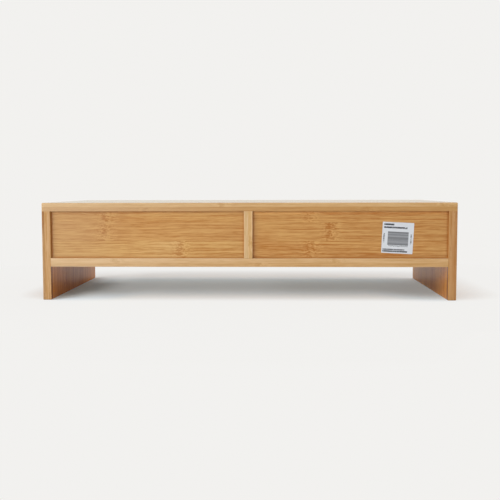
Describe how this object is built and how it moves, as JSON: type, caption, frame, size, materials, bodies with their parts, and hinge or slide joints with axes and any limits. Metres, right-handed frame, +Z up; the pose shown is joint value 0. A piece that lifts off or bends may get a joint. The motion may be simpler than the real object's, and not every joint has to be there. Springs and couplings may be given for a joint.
{
  "type": "desktop drawer stand",
  "caption": "Low bamboo desktop stand: a flat top on full-depth side legs over two inset drawers side by side, with open space beneath for a keyboard.",
  "frame": {"origin": "on the table under the middle of the stand", "axes": "+Z up; +X across the width, to the right of someone who faces the drawers; -Y is the side where the drawers open, +Y the side with the fixed back panels"},
  "size_m": [0.51, 0.25, 0.12],
  "materials": {
    "bamboo_top": "satin clear lacquer, long grain across the width",
    "bamboo_upright": "satin clear lacquer, upright grain",
    "bamboo_shelf": "satin clear lacquer, long grain across the width",
    "bamboo_panel": "satin clear lacquer, broad flat strips with knuckles",
    "bamboo_front": "satin clear lacquer, broad flat strips with knuckles",
    "bamboo_drawer": "fine matt sanded",
    "bamboo_floor": "fine matt sanded",
    "bamboo_dowel": "plain turned bamboo"
  },
  "bodies": {
    "stand": {"top_board": "bamboo_top", "left_side_panel": "bamboo_upright", "right_side_panel": "bamboo_upright", "shelf": "bamboo_shelf", "centre_divider": "bamboo_upright", "left_back_panel": "bamboo_panel", "right_back_panel": "bamboo_panel", "top_left_dowels": "bamboo_dowel", "top_right_dowels": "bamboo_dowel", "top_middle_dowels": "bamboo_dowel", "shelf_left_dowels": "bamboo_dowel", "shelf_right_dowels": "bamboo_dowel", "shelf_middle_dowels": "bamboo_dowel"},
    "left_drawer": {"left_drawer_front": "bamboo_front", "left_drawer_left_side": "bamboo_drawer", "left_drawer_right_side": "bamboo_drawer", "left_drawer_back": "bamboo_drawer", "left_drawer_floor": "bamboo_floor", "left_drawer_pins": "bamboo_dowel"},
    "right_drawer": {"right_drawer_front": "bamboo_front", "right_drawer_left_side": "bamboo_drawer", "right_drawer_right_side": "bamboo_drawer", "right_drawer_back": "bamboo_drawer", "right_drawer_floor": "bamboo_floor", "right_drawer_pins": "bamboo_dowel"}
  },
  "joints": [
    {"name": "left_drawer_slide", "type": "slide", "parent": "stand", "child": "left_drawer", "axis": [0, -1, 0], "range_m": [0, 0.2]},
    {"name": "right_drawer_slide", "type": "slide", "parent": "stand", "child": "right_drawer", "axis": [0, -1, 0], "range_m": [0, 0.2]}
  ]
}
